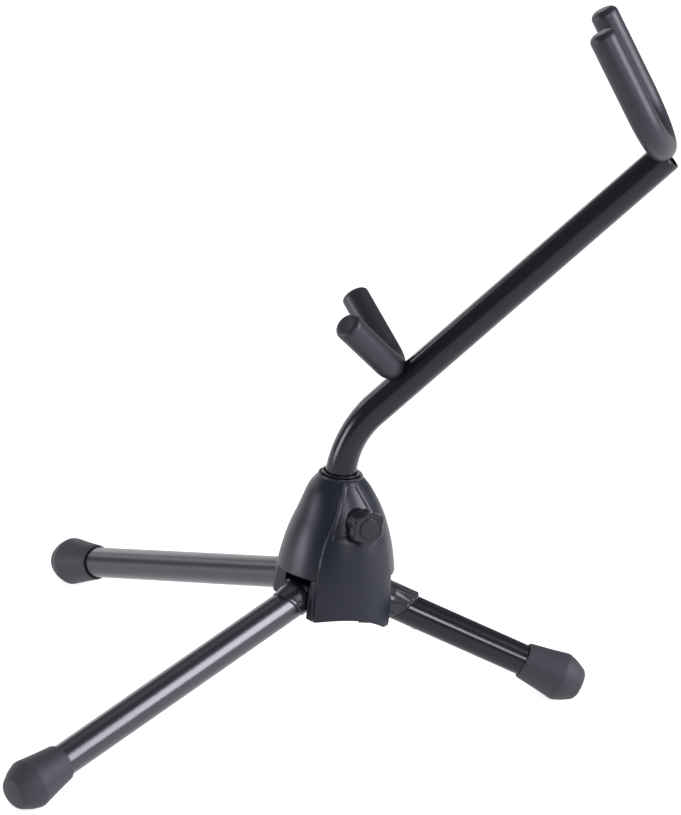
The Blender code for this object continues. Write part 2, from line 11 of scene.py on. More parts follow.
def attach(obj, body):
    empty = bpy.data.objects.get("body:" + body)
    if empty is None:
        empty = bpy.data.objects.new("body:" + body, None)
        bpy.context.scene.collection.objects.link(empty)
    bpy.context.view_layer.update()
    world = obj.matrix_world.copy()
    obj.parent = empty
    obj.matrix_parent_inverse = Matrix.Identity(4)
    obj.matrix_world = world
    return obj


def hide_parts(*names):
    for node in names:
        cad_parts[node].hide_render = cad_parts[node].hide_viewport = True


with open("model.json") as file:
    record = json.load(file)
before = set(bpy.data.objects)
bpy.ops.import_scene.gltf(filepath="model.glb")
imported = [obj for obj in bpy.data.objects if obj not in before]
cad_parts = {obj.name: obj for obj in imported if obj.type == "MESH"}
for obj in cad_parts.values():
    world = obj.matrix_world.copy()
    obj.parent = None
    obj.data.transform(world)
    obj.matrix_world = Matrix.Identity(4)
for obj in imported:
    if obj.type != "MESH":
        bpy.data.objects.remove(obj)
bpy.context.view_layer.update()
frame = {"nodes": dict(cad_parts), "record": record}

MM = 0.001
GAP = 0.3 * MM
JOINTS = {joint["name"]: joint for joint in frame["record"]["behaviour"]["joints"]}
LEG_MEET = Vector(JOINTS["mast_turn"]["pos_m"])
HUB_AXIS = Vector(JOINTS["mast_turn"]["axis"])
SIDEWAYS = Vector((0.0, 1.0, 0.0))

TUBE_R = 9.5 * MM
TUBE_WALL = 1.2 * MM
COLLAR_ANGLE = math.radians(29.0)
COLLAR_SLANT = math.tan(COLLAR_ANGLE)

# Hub, measured in its own frame: origin at the leg meet, +Z up the hub axis
HUB_TOP = 64.8 * MM
HUB_BOTTOM = -18.9 * MM
SKIN_SHIFT = 2.3 * MM
SKIN_SHIFT_SPAN = 26.0 * MM
BASE_TILT = math.radians(6.7)
HUB_OUTLINE = (
    (36.7, -18.9), (36.5, -6.0), (34.9, 9.3), (31.5, 25.8), (26.2, 41.0), (19.2, 56.2), (13.5, 63.4),
)
HUB_SHOULDER = 63.4 * MM
HUB_LIP_R = 13.4 * MM
HUB_BORE_R = 11.4 * MM
BOSS_R = 7.9 * MM
BOSS_END = 28.0 * MM
BELOW_HUB = -41.0 * MM
SLOT_HALF = 11.75 * MM
SLOT_TOP = 6.5 * MM
SLOT_INNER = 13.3 * MM
SLOT_OUTER = 50.0 * MM
# Relief beside each long leg's slot: from this radius out, between these distances from the leg's plane
WINDOW_INNER = 27.6 * MM
WINDOW_OUTER = 60.0 * MM
WINDOW_SPAN = (11.0 * MM, 24.0 * MM)
BASE_SCREW_CIRCLE = 21.0 * MM
BASE_SCREW_HOLE_R = 1.7 * MM
PLATE_R = 27.8 * MM
PLATE_BOTTOM = -16.6 * MM
PLATE_TOP = -14.3 * MM
PANEL_ARCH_RISE = 5.8 * MM
PANEL_RISE = 1.0 * MM
SKIN_SINK = 0.1 * MM
PANEL_CHAMFER = 1.3 * MM
# Half angle of a full-width panel in degrees against height in mm
PANEL_EDGE = ((-22.0, 42.7), (13.6, 42.7), (31.0, 40.0), (47.0, 31.0), (56.0, 25.5), (63.0, 23.0))
POCKET_DEPTH = 3.0 * MM
POCKET_RAKE = 0.14
POCKET_INSET = 3.2 * MM
POCKET_FLOOR = 31.0 * MM
POCKET_RAMP = 13.0 * MM
RIDGE_TILT = 0.22
EDGE_SOFTNESS = 1.1 * MM
LEG_AZIMUTHS = tuple(math.radians(a) for a in (-131.65, 131.65, 0.0))
PANEL_AZIMUTHS = tuple(math.radians(a) for a in (-65.8, 65.8, 180.0))

PIN_FROM_AXIS = 23.0 * MM
COLLAR_R = 9.9 * MM
BARREL_R = 9.2 * MM
BELLY_RELIEF = 0.9 * MM
CROWN_R = 11.2 * MM
KNUCKLE_HALF = 11.1 * MM
RIDGE_TOP = 10.9 * MM
DIMPLE_R = 1.2 * MM
RIVET_FROM_COLLAR = 12.0 * MM
RIVET_R = 1.5 * MM
RIVET_HEAD_R = 2.6 * MM
RIVET_HEAD = 0.45 * MM
PIN_R = 2.5 * MM
PIN_LENGTH = 32.5 * MM

KNOB_AZIMUTH = math.radians(-60.0)
KNOB_HEIGHT = 43.0 * MM
KNOB_R = 11.2 * MM
KNOB_BACK = 29.1 * MM
KNOB_FACE = 38.5 * MM
KNOB_LOBES = 6
LOBE_DEPTH = 0.065
CAP_R = 6.2 * MM
CAP_DOME = 0.8 * MM

MAST_TURN = math.radians(-3.2)
MAST_ANGLE = math.radians(44.0)
MAST_BEND_R = 67.0 * MM
MAST_CORNER = 87.9 * MM
MAST_END = Vector((190.4, 0.0, 265.2)) * MM
MAST_FOOT = -9.5 * MM
MAST_SQUEEZE = 0.07

SLEEVE_R = 8.3 * MM
UPPER_YOKE = {
    "base": Vector((187.2, 0.0, 271.2)) * MM, "angle": math.radians(117.6), "half": 29.5 * MM,
    "bend": 29.5 * MM, "splay": 0.0, "reach": 81.2 * MM,
}
LOWER_YOKE = {
    "base": Vector((33.7, 0.0, 133.1)) * MM, "angle": math.radians(127.3), "half": 32.3 * MM,
    "bend": 11.3 * MM, "splay": math.radians(32.0), "reach": 0.0,
}

FOOT_SOCKET = 22.0 * MM
# Foot outline: radius in mm against distance from the rim in mm
FOOT_OUTLINE = ((10.6, 0.0), (11.1, 0.5), (12.9, 13.0), (14.95, 24.8), (13.0, 30.4), (9.6, 36.6), (7.4, 37.9))


# ---------------------------------------------------------------- mesh helpers

def piece(name, builder, body, replaced=(), slot=None, sharp=34.0):
    """Makes an object from a bmesh in world coordinates and lets it ride on its body."""
    mesh = bpy.data.meshes.new(name)
    bmesh.ops.recalc_face_normals(builder, faces=builder.faces)
    builder.to_mesh(mesh)
    builder.free()
    made = bpy.data.objects.new(name, mesh)
    bpy.context.collection.objects.link(made)
    shade(made, sharp)
    if body:
        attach(made, body)
    if replaced:
        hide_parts(*replaced)
    if slot:
        mesh.materials.append(MATERIALS[slot])
    return made


def shade(made, sharp=34.0):
    made.data.shade_smooth()
    made.data.set_sharp_from_angle(angle=math.radians(sharp))


def carve(made, cutters, operation="DIFFERENCE", sharp=34.0):
    """Cuts closed shapes out of a piece, or joins them to it, and keeps the finished mesh."""
    for number, cutter in enumerate(cutters):
        modifier = made.modifiers.new(f"carve_{number}", "BOOLEAN")
        modifier.operation = operation
        modifier.solver = "MANIFOLD"
        modifier.object = cutter
    bpy.context.view_layer.update()
    evaluated = made.evaluated_get(bpy.context.evaluated_depsgraph_get())
    finished = bpy.data.meshes.new_from_object(evaluated)
    materials = list(made.data.materials)
    made.modifiers.clear()
    made.data = finished
    finished.materials.clear()
    for each in materials:
        finished.materials.append(each)
    finished.polygons.foreach_set("material_index", [0] * len(finished.polygons))
    for cutter in cutters:
        bpy.data.objects.remove(cutter, do_unlink=True)
    shade(made, sharp)


def cutter(builder):
    return piece("cutter", builder, None)


def rings_to_mesh(rings, closed=False):
    """Joins rings of points, all of one length. Open ends are filled; a closed set meets itself."""
    builder = bmesh.new()
    lines = [[builder.verts.new(co) for co in ring] for ring in rings]
    count = len(lines[0])
    pairs = list(zip(lines, lines[1:]))
    if closed:
        pairs.append((lines[-1], lines[0]))
    for near, far in pairs:
        for i in range(count):
            j = (i + 1) % count
            builder.faces.new((near[i], near[j], far[j], far[i]))
    if not closed:
        builder.faces.new(lines[0])
        builder.faces.new(list(reversed(lines[-1])))
    return builder


def turned(profile, place, segments=72, closed=False):
    """Turns (radius, height) points about the local Z of a place."""
    angles = [2 * math.pi * k / segments for k in range(segments)]
    return rings_to_mesh([
        [place @ Vector((r * math.cos(a), r * math.sin(a), h)) for a in angles] for r, h in profile], closed)


def block(low, high, place):
    builder = bmesh.new()
    bmesh.ops.create_cube(builder, size=1.0)
    for vertex in builder.verts:
        corner = [low[k] if vertex.co[k] < 0 else high[k] for k in range(3)]
        vertex.co = place @ Vector(corner)
    return builder


def rounded(profile, radius, steps=4):
    """Rounds each inner corner of a (radius, height) profile with a short arc."""
    out = [profile[0]]
    for before, corner, after in zip(profile, profile[1:], profile[2:]):
        a, b, c = Vector(before), Vector(corner), Vector(after)
        size = min(radius, 0.45 * (a - b).length, 0.45 * (c - b).length)
        start, end = b + (a - b).normalized() * size, b + (c - b).normalized() * size
        for k in range(steps + 1):
            t = k / steps
            out.append(tuple(start * (1 - t) ** 2 + b * 2 * t * (1 - t) + end * t * t))
    return [*out, profile[-1]]


def smooth_curve(points, steps=8):
    """Catmull-Rom curve through points, as two arrays in the points' own units."""
    padded = [np.array(p, float) for p in (points[0], *points, points[-1])]
    out = []
    for a, b, c, d in zip(padded, padded[1:], padded[2:], padded[3:]):
        for k in range(steps):
            t = k / steps
            out.append(b + 0.5 * (
                (c - a) * t + (2 * a - 5 * b + 4 * c - d) * t * t + (3 * b - a - 3 * c + d) * t ** 3))
    out.append(padded[-1])
    return np.array(out).T


def ease(value):
    value = np.clip(value, 0.0, 1.0)
    return value * value * (3 - 2 * value)


def frame_at(origin, x_axis, z_axis):
    x_axis, z_axis = x_axis.normalized(), z_axis.normalized()
    columns = Matrix((x_axis, z_axis.cross(x_axis), z_axis)).transposed()
    return Matrix.Translation(origin) @ columns.to_4x4()


def node_points(node):
    return np.array([v.co for v in frame["nodes"][node].data.vertices])


HUB = frame_at(LEG_MEET, SIDEWAYS.cross(HUB_AXIS), HUB_AXIS)
MAST = Matrix.Translation(LEG_MEET) @ Matrix.Rotation(MAST_TURN, 4, HUB_AXIS)


def radial(azimuth):
    return HUB @ Matrix.Rotation(azimuth, 4, "Z")


def along_radius(azimuth, height):
    """Local Z out along the azimuth at a height."""
    return radial(azimuth) @ Matrix.Translation((0.0, 0.0, height)) @ Matrix.Rotation(math.pi / 2, 4, "Y")


# ---------------------------------------------------------------- materials

def surface(
        name, colour, roughness, metallic=0.0, shine=0.5, grain=900.0, depth=0.02, mottle=0.12, spread=0.06):
    """A Principled material whose colour, roughness and relief vary a little at two scales."""
    made = bpy.data.materials.new(name)
    made.use_nodes = True
    nodes, links = made.node_tree.nodes, made.node_tree.links
    shader = nodes["Principled BSDF"]
    shader.inputs["Metallic"].default_value = metallic
    shader.inputs["Specular IOR Level"].default_value = shine
    shader.inputs["Specular Tint"].default_value = (0.90, 0.88, 1.0, 1.0)
    place = nodes.new("ShaderNodeTexCoord")
    cloud = nodes.new("ShaderNodeTexNoise")
    cloud.inputs["Scale"].default_value = 45.0
    cloud.inputs["Detail"].default_value = 5.0
    links.new(place.outputs["Object"], cloud.inputs["Vector"])
    tint = nodes.new("ShaderNodeMix")
    tint.data_type = "RGBA"
    tint.inputs["A"].default_value = (*[c * (1 - mottle) for c in colour], 1.0)
    tint.inputs["B"].default_value = (*[c * (1 + mottle) for c in colour], 1.0)
    links.new(cloud.outputs["Fac"], tint.inputs["Factor"])
    links.new(tint.outputs["Result"], shader.inputs["Base Color"])
    fine = nodes.new("ShaderNodeTexNoise")
    fine.inputs["Scale"].default_value = grain
    fine.inputs["Detail"].default_value = 3.0
    links.new(place.outputs["Object"], fine.inputs["Vector"])
    gloss = nodes.new("ShaderNodeMapRange")
    gloss.inputs["To Min"].default_value = roughness - spread
    gloss.inputs["To Max"].default_value = roughness + spread
    links.new(cloud.outputs["Fac"], gloss.inputs["Value"])
    links.new(gloss.outputs["Result"], shader.inputs["Roughness"])
    relief = nodes.new("ShaderNodeBump")
    relief.inputs["Strength"].default_value = 1.0
    relief.inputs["Distance"].default_value = depth * MM
    links.new(fine.outputs["Fac"], relief.inputs["Height"])
    links.new(relief.outputs["Normal"], shader.inputs["Normal"])
    return made


MATERIALS = {
    "nylon": surface("nylon", (0.006, 0.008, 0.014), 0.37, shine=0.36, grain=1500, depth=0.008),
    "bush": surface("bush", (0.005, 0.005, 0.008), 0.30, shine=0.40, grain=1500, depth=0.006),
    "knob": surface("knob", (0.009, 0.011, 0.013), 0.34, shine=0.32, grain=1500, depth=0.010),
    "knuckle": surface(
        "knuckle", (0.004, 0.004, 0.007), 0.27, shine=0.60, grain=1200, depth=0.004, spread=0.03),
    "plug": surface("plug", (0.004, 0.004, 0.005), 0.50, shine=0.3, grain=1200, depth=0.010),
    "black_lacquer": surface(
        "black_lacquer", (0.005, 0.006, 0.009), 0.20, shine=0.34, grain=220, depth=0.0015, spread=0.02),
    "grey_lacquer": surface(
        "grey_lacquer", (0.006, 0.005, 0.009), 0.29, shine=0.78, grain=220, depth=0.0015, spread=0.02),
    "rubber": surface(
        "rubber", (0.031, 0.029, 0.037), 0.58, shine=0.35, grain=1300, depth=0.020, mottle=0.18),
    "foam": surface("foam", (0.007, 0.007, 0.012), 0.46, shine=0.52, grain=1100, depth=0.020, mottle=0.15),
    "steel": surface("steel", (0.55, 0.55, 0.57), 0.32, metallic=1.0, grain=700, depth=0.010),
    "brass": surface("brass", (0.66, 0.48, 0.22), 0.34, metallic=1.0, grain=700, depth=0.010),
}


def dress_cad_nodes():
    slots = {part["node"]: part["material_slot"] for part in frame["record"]["subparts"]}
    for name, node in frame["nodes"].items():
        node.data.materials.clear()
        node.data.materials.append(MATERIALS[slots[name]])


# ---------------------------------------------------------------- hub

def panel_half_angle(height):
    angles_heights = smooth_curve([(z, a) for z, a in PANEL_EDGE])
    return np.radians(np.interp(height / MM, angles_heights[0], angles_heights[1]))


def wrap(angle):
    return (angle + math.pi) % (2 * math.pi) - math.pi


def hub_radius(angle, height):
    """The hub's outer skin: an ogive, raised panels, a recess round the knob, and softened edges."""
    radii, heights = smooth_curve(HUB_OUTLINE)
    base = np.interp(height / MM, heights, radii) * MM
    rise = np.zeros_like(base)
    for azimuth in PANEL_AZIMUTHS[:2]:
        inside = (panel_half_angle(height) - np.abs(wrap(angle - azimuth))) * base
        rise = np.maximum(rise, PANEL_RISE * ease(inside / PANEL_CHAMFER))
        if azimuth == PANEL_AZIMUTHS[0]:
            upper = ease((height - POCKET_FLOOR) / POCKET_RAMP)
            slope = np.clip(inside - PANEL_CHAMFER, 0.0, POCKET_INSET - PANEL_CHAMFER) * RIDGE_TILT * upper
            pocket = ease((inside - POCKET_INSET) / (0.9 * MM)) * upper
            pocket = pocket * ease((HUB_TOP - 3.2 * MM - height) / (1.0 * MM))
            depth = POCKET_DEPTH - POCKET_RAKE * np.maximum(height - POCKET_FLOOR - POCKET_RAMP, 0.0)
            rise = rise - slope - depth * pocket
    radius = base - SKIN_SINK + rise
    for azimuth in LEG_AZIMUTHS:
        turn = wrap(angle - azimuth)
        across = np.maximum(np.abs(radius * np.sin(turn)) - SLOT_HALF, 0.0)
        above = np.maximum(height - SLOT_TOP, 0.0)
        near = 1 - np.clip(np.hypot(across, above) / EDGE_SOFTNESS, 0.0, 1.0)
        radius = radius - np.where(np.cos(turn) > 0, 0.75 * MM * near ** 2, 0.0)
    hem = 1 - np.clip((height - HUB_BOTTOM) / (0.8 * MM), 0.0, 1.0)
    return radius - 0.5 * MM * hem ** 2


def base_place():
    """The slanted frame of the hub's bottom, its plate and their screws."""
    centre = Matrix.Translation((0.0, 0.0, HUB_BOTTOM))
    return HUB @ centre @ Matrix.Rotation(BASE_TILT, 4, "Y") @ centre.inverted()


def skin_point(radius, angle, height):
    """A point of the skin, whose centre leaves the bore's axis and whose hem slants."""
    share = float(ease((HUB_TOP - height) / SKIN_SHIFT_SPAN))
    x = radius * math.cos(angle) + SKIN_SHIFT * share
    sink = min(max((-12.4 * MM - height) / (6.5 * MM), 0.0), 1.0)
    return HUB @ Vector((x, radius * math.sin(angle), height - sink * x * math.tan(BASE_TILT)))


def bore_point(radius, angle, height):
    x = radius * math.cos(angle)
    sink = math.tan(BASE_TILT) if height < HUB_BOTTOM + 0.1 * MM else 0.0
    return HUB @ Vector((x, radius * math.sin(angle), height - sink * x))


def hub_levels():
    """Heights of the skin's rings, closer together where its edges are."""
    even = np.linspace(HUB_BOTTOM, HUB_SHOULDER, 150)
    hem = HUB_BOTTOM + np.linspace(0.15, 0.9, 4) * MM
    mouth = SLOT_TOP + np.linspace(-0.2, 1.3, 6) * MM
    return np.unique(np.concatenate((even, hem, mouth)))


def make_hub():
    steps = 432
    angles = np.arange(steps) * 2 * math.pi / steps
    rings = []
    for height in hub_levels():
        radius = hub_radius(angles, np.full(steps, height))
        rings.append([skin_point(r, a, height) for r, a in zip(radius, angles)])
    lip = rounded((
        (HUB_LIP_R, HUB_SHOULDER), (HUB_LIP_R, 64.0 * MM), (HUB_LIP_R - 0.2 * MM, HUB_TOP),
        (12.5 * MM, HUB_TOP), (HUB_BORE_R, HUB_TOP - 0.5 * MM), (HUB_BORE_R, HUB_BOTTOM)), 0.5 * MM)
    for r, h in lip[1:]:
        rings.append([bore_point(r, a, h) for a in angles])
    body = piece("hub_shell", rings_to_mesh(rings, closed=True), "hub", ["hub_body"], "nylon")
    boss = rounded((
        (0.0, 15 * MM), (BOSS_R, 15 * MM), (BOSS_R - 0.4 * MM, BOSS_END), (5.2 * MM, BOSS_END),
        (0.0, BOSS_END)), 0.6 * MM)
    carve(body, [cutter(turned(boss, along_radius(KNOB_AZIMUTH, KNOB_HEIGHT)))], "UNION")
    carve(body, hub_cutters())
    return body


def leg_pin_place(leg):
    return leg["pivot"] @ Matrix.Rotation(math.pi / 2, 4, "X")


def hub_cutters():
    made = []
    for leg, azimuth in zip(LEGS.values(), LEG_AZIMUTHS):
        made.append(cutter(block(
            (SLOT_INNER, -SLOT_HALF, BELOW_HUB), (SLOT_OUTER, SLOT_HALF, SLOT_TOP), radial(azimuth))))
        reach = PIN_LENGTH / 2 + GAP
        bore = ((0.0, -reach), (PIN_R + GAP, -reach), (PIN_R + GAP, reach), (0.0, reach))
        made.append(cutter(turned(bore, leg_pin_place(leg), 24)))
        if azimuth:
            side = math.copysign(1.0, azimuth)
            edges = sorted(side * edge for edge in WINDOW_SPAN)
            made.append(cutter(block(
                (WINDOW_INNER, edges[0], BELOW_HUB), (WINDOW_OUTER, edges[1], SLOT_TOP - 0.05 * MM),
                radial(azimuth))))
        drop = HUB.inverted() @ leg["pivot"].translation
        snap = radial(azimuth) @ Matrix.Translation((PIN_FROM_AXIS, 0.0, drop.z))
        made.append(cutter(block(
            (-2.3 * MM, 0.2 * MM - reach, -40 * MM), (2.3 * MM, reach - 0.2 * MM, -0.7 * MM), snap)))
    recess = ((0.0, -42 * MM), (PLATE_R, -42 * MM), (PLATE_R, PLATE_TOP), (0.0, PLATE_TOP))
    base = base_place()
    made.append(cutter(turned(recess, base)))
    for azimuth in PANEL_AZIMUTHS:
        arch_r = 26.0 * MM if abs(azimuth) > 3 else 46.0 * MM
        arch = ((0.0, 26.5 * MM), (arch_r, 26.5 * MM), (arch_r, 60 * MM), (0.0, 60 * MM))
        lift = along_radius(azimuth, HUB_BOTTOM + PANEL_ARCH_RISE - arch_r)
        made.append(cutter(turned(arch, base @ HUB.inverted() @ lift, 240)))
        top = PLATE_BOTTOM + 9.3 * MM
        hole = ((0.0, -43 * MM), (BASE_SCREW_HOLE_R, -43 * MM), (BASE_SCREW_HOLE_R, top), (0.0, top))
        spot = Matrix.Rotation(azimuth, 4, "Z") @ Matrix.Translation((BASE_SCREW_CIRCLE, 0.0, 0.0))
        made.append(cutter(turned(hole, base @ spot, 24)))
    place = along_radius(KNOB_AZIMUTH, KNOB_HEIGHT)
    for radius, start in ((3.6 * MM, 5 * MM), (5.1 * MM, 17.8 * MM)):
        hole = ((0.0, start), (radius, start), (radius, 40 * MM), (0.0, 40 * MM))
        made.append(cutter(turned(hole, place, 32)))
    return made


def make_bush():
    low, high, shoulder = 4.0 * MM, HUB_TOP + 1.2 * MM, HUB_TOP + GAP
    profile = rounded(((10.0 * MM, low), (11.1 * MM, low), (11.1 * MM, shoulder), (11.8 * MM, shoulder),
                       (11.8 * MM, high), (9.9 * MM, high), (9.9 * MM, low + 0.5 * MM)), 0.45 * MM)
    bush = piece("bush_ring", turned(profile, HUB, 96, closed=True), "bush", ["mast_bush"], "bush")
    split = block((0.0, -0.8 * MM, low - MM), (20 * MM, 0.8 * MM, high + MM), radial(math.pi))
    carve(bush, [cutter(split)])


# ---------------------------------------------------------------- clamp knob

def make_knob():
    """A grip with rounded lobes, dished face and a domed cap."""
    place = along_radius(KNOB_AZIMUTH, KNOB_HEIGHT)
    steps = 180
    levels = rounded((
        (0.30, KNOB_BACK), (0.64, KNOB_BACK), (0.70, KNOB_BACK + 2.2 * MM), (1.0, KNOB_BACK + 4.2 * MM),
        (1.0, KNOB_FACE - 0.9 * MM), (0.90, KNOB_FACE), (0.68, KNOB_FACE - 0.25 * MM),
        (0.40, KNOB_FACE - 0.25 * MM)), 0.9 * MM, 5)
    rings = []
    for share, height in levels:
        depth = LOBE_DEPTH * float(ease((share - 0.6) / 0.35))
        ring = []
        for k in range(steps):
            a = 2 * math.pi * k / steps
            lobe = 0.5 - 0.5 * math.cos(KNOB_LOBES * a)
            radius = KNOB_R * share * (1.0 - 2 * depth * lobe)
            ring.append(place @ Vector((radius * math.cos(a), radius * math.sin(a), height)))
        rings.append(ring)
    knob = piece("knob_grip", rings_to_mesh(rings), "knob", ["clamp_knob"], "knob")
    bore = ((0.0, 20 * MM), (3.3 * MM, 20 * MM), (3.3 * MM, 34.4 * MM), (0.0, 34.4 * MM))
    seat = ((0.0, 34.9 * MM), (6.5 * MM, 34.9 * MM), (6.5 * MM, 60 * MM), (0.0, 60 * MM))
    carve(knob, [cutter(turned(bore, place, 32)), cutter(turned(seat, place, 64))])
    cap = [(0.01 * MM, 35.2 * MM), (CAP_R, 35.2 * MM), (CAP_R, KNOB_FACE)]
    for k in range(1, 9):
        a = math.pi / 2 * k / 9
        cap.append((CAP_R * math.cos(a), KNOB_FACE + CAP_DOME * math.sin(a)))
    cap.append((0.01 * MM, KNOB_FACE + CAP_DOME))
    piece("knob_button", turned(cap, place, 64), "knob", ["knob_cap"], "knob")


# ---------------------------------------------------------------- legs

def read_leg(name):
    """A leg's pivot frame (X down the leg, Z to its top) and stations, from the frame."""
    joint = JOINTS[f"leg_{name}_fold"]
    pivot, axis = Vector(joint["pos_m"]), Vector(joint["axis"])
    tube = node_points(f"leg_{name}_tube") - np.array(pivot)
    reach = np.linalg.norm(tube, axis=1)
    end = Vector(tube[reach > reach.max() - 1.0 * MM].mean(axis=0))
    direction = end.normalized()
    up = direction.cross(axis).normalized()
    if up.z < 0:
        up = -up
    place = frame_at(pivot, direction, up)
    tube_x = tube @ np.array(direction)
    tube_z = tube @ np.array(up)
    upper_end = (tube_x - tube_z * COLLAR_SLANT)[tube_x < 40 * MM].min()
    collar = float(upper_end) - GAP / math.cos(COLLAR_ANGLE)
    foot = (node_points(f"leg_{name}_foot") - np.array(pivot)) @ np.array(direction)
    return {
        "pivot": place, "collar": collar, "tube_end": float(tube_x.max()), "rim": float(foot.min()),
        "ridge": name == "right",
    }


def make_leg_tube(name, leg):
    steps = 96
    stations = (
        (leg["collar"] + GAP, TUBE_R - 0.25 * MM, 1), (leg["collar"] + GAP + 0.25 * MM, TUBE_R, 1),
        (leg["collar"] + 9 * MM, TUBE_R, 0), (leg["tube_end"], TUBE_R, 0),
        (leg["tube_end"], TUBE_R - TUBE_WALL, 0), (leg["collar"] + 9 * MM, TUBE_R - TUBE_WALL, 0),
        (leg["collar"] + GAP, TUBE_R - TUBE_WALL, 1),
    )
    rings = []
    for x, radius, slanted in stations:
        ring = []
        for k in range(steps):
            a = 2 * math.pi * k / steps
            y, z = radius * math.cos(a), radius * math.sin(a)
            ring.append(leg["pivot"] @ Vector((x + slanted * z * COLLAR_SLANT, y, z)))
        rings.append(ring)
    slot = "black_lacquer" if name == "right" else "grey_lacquer"
    piece(f"leg_{name}_pipe", rings_to_mesh(rings, closed=True), f"leg_{name}", [f"leg_{name}_tube"], slot)


def knuckle_section(x, leg, steps=120):
    """The hinge block across the leg: flat cheeks at the pin, round from there down to the collar."""
    barrel = math.sqrt(max(BARREL_R ** 2 - x ** 2, 0.0)) if x < 0 else BARREL_R
    belly = barrel - BELLY_RELIEF * float(ease(x / (6.0 * MM)))
    roundness = float(ease((x + 1.0 * MM) / (7.0 * MM)))
    narrowing = float(ease((x - leg["collar"] + 8.5 * MM) / (7.5 * MM)))
    power = 8.0 * (1 - roundness) + 2.15 * roundness
    half = KNUCKLE_HALF * (1 - narrowing) + COLLAR_R * narrowing
    low = belly * (1 - narrowing) + COLLAR_R * narrowing
    crown = CROWN_R * (1 - narrowing) + COLLAR_R * narrowing
    high = barrel * (1 - roundness) + crown * roundness
    out = []
    for k in range(steps):
        a = 2 * math.pi * k / steps
        tall = high if math.sin(a) > 0 else low
        reach = (abs(math.cos(a) / half) ** power + abs(math.sin(a) / tall) ** power) ** (-1 / power)
        y, z = reach * math.cos(a), reach * math.sin(a)
        if z > 0 and leg["ridge"]:
            share = float(ease((x - 1.0 * MM) / (5.0 * MM))) * float(ease((7.0 * MM - abs(y)) / (3.0 * MM)))
            z += max(RIDGE_TOP - z, 0.0) * share
        out.append((y, z))
    return out


def make_knuckle(name, leg):
    """A hinge block that rounds off into the collar of the tube."""
    collar = leg["collar"]
    stations = [-BARREL_R * math.cos(math.radians(a)) for a in (2, 8, 16, 26, 38, 52, 68, 84)]
    stations.extend(np.linspace(0.0, collar - 0.7 * MM, 44))
    rings = []
    for x in [*stations, collar - 0.35 * MM, collar]:
        shrink = 0.965 if x >= collar else 0.99 if x >= collar - 0.4 * MM else 1.0
        slant = float(ease((x - (collar - 8.0 * MM)) / (5.0 * MM))) * COLLAR_SLANT
        rings.append([
            leg["pivot"] @ Vector((x + slant * z, y * shrink, z * shrink))
            for y, z in knuckle_section(x, leg)])
    plug_r = TUBE_R - TUBE_WALL - GAP
    angles = [2 * math.pi * k / 120 for k in range(120)]
    for x, slant in ((collar, COLLAR_SLANT), (collar + 9 * MM, 0.0), (collar + 20 * MM, 0.0)):
        circle = [(plug_r * math.cos(a), plug_r * math.sin(a)) for a in angles]
        rings.append([leg["pivot"] @ Vector((x + slant * z, y, z)) for y, z in circle])
    knuckle = piece(
        f"leg_{name}_hinge", rings_to_mesh(rings), f"leg_{name}", [f"leg_{name}_knuckle"], "knuckle")
    bore_r = PIN_R + GAP
    bore = ((0.0, -30 * MM), (bore_r, -30 * MM), (bore_r, 30 * MM), (0.0, 30 * MM))
    rivet_hole = ((0.0, 3.5 * MM), (1.8 * MM, 3.5 * MM), (1.8 * MM, 20 * MM), (0.0, 20 * MM))
    tools = [cutter(turned(bore, leg_pin_place(leg), 32)), cutter(turned(rivet_hole, rivet_place(leg), 24))]
    dimple = ((0.0, 9.0 * MM), (DIMPLE_R, 9.0 * MM), (DIMPLE_R + 0.2 * MM, 14.0 * MM), (0.0, 14.0 * MM))
    spot = leg["pivot"] @ Matrix.Translation((leg["collar"] - 5.4 * MM, 0.0, -2.3 * MM))
    for turn in (math.pi / 2, -math.pi / 2):
        tools.append(cutter(turned(dimple, spot @ Matrix.Rotation(turn, 4, "X"), 24)))
    carve(knuckle, tools)


def rivet_place(leg):
    """Local Z out through the underside of the leg tube."""
    along = Matrix.Translation((leg["collar"] + RIVET_FROM_COLLAR, 0.0, 0.0))
    return leg["pivot"] @ along @ Matrix.Rotation(math.pi, 4, "X")


def make_rivet(name, leg):
    """A low domed head pressed on the underside of the tube."""
    seat, head = TUBE_R - 0.2 * MM, TUBE_R + RIVET_HEAD
    profile = (
        (0.05 * MM, 4.0 * MM), (RIVET_R, 4.0 * MM), (RIVET_R, seat), (RIVET_HEAD_R, seat),
        (2.4 * MM, head - 0.15 * MM), (1.2 * MM, head), (0.05 * MM, head))
    piece(
        f"leg_{name}_rivet_head", turned(profile, rivet_place(leg), 40), f"leg_{name}", [f"leg_{name}_rivet"],
        "steel")


def make_foot(name, leg):
    """A rubber ferrule with a flared skirt and a domed nose, pressed flat where it meets the floor."""
    place = leg["pivot"] @ Matrix.Translation((leg["rim"], 0.0, 0.0)) @ Matrix.Rotation(math.pi / 2, 4, "Y")
    profile = rounded([(r * MM, h * MM) for r, h in FOOT_OUTLINE], 1.4 * MM, 6)
    socket_r = TUBE_R + GAP
    mouth = [(socket_r, 0.35 * MM), (socket_r + 0.4 * MM, 0.0)]
    inner = [(0.05 * MM, FOOT_SOCKET), (socket_r, FOOT_SOCKET), *mouth]
    builder = turned([*inner, *profile, (0.05 * MM, 37.9 * MM)], place, 96)
    for vertex in builder.verts:
        vertex.co.z = max(vertex.co.z, 0.0)
    piece(f"leg_{name}_ferrule", builder, f"leg_{name}", [f"leg_{name}_foot"], "rubber")


# ---------------------------------------------------------------- mast and yokes

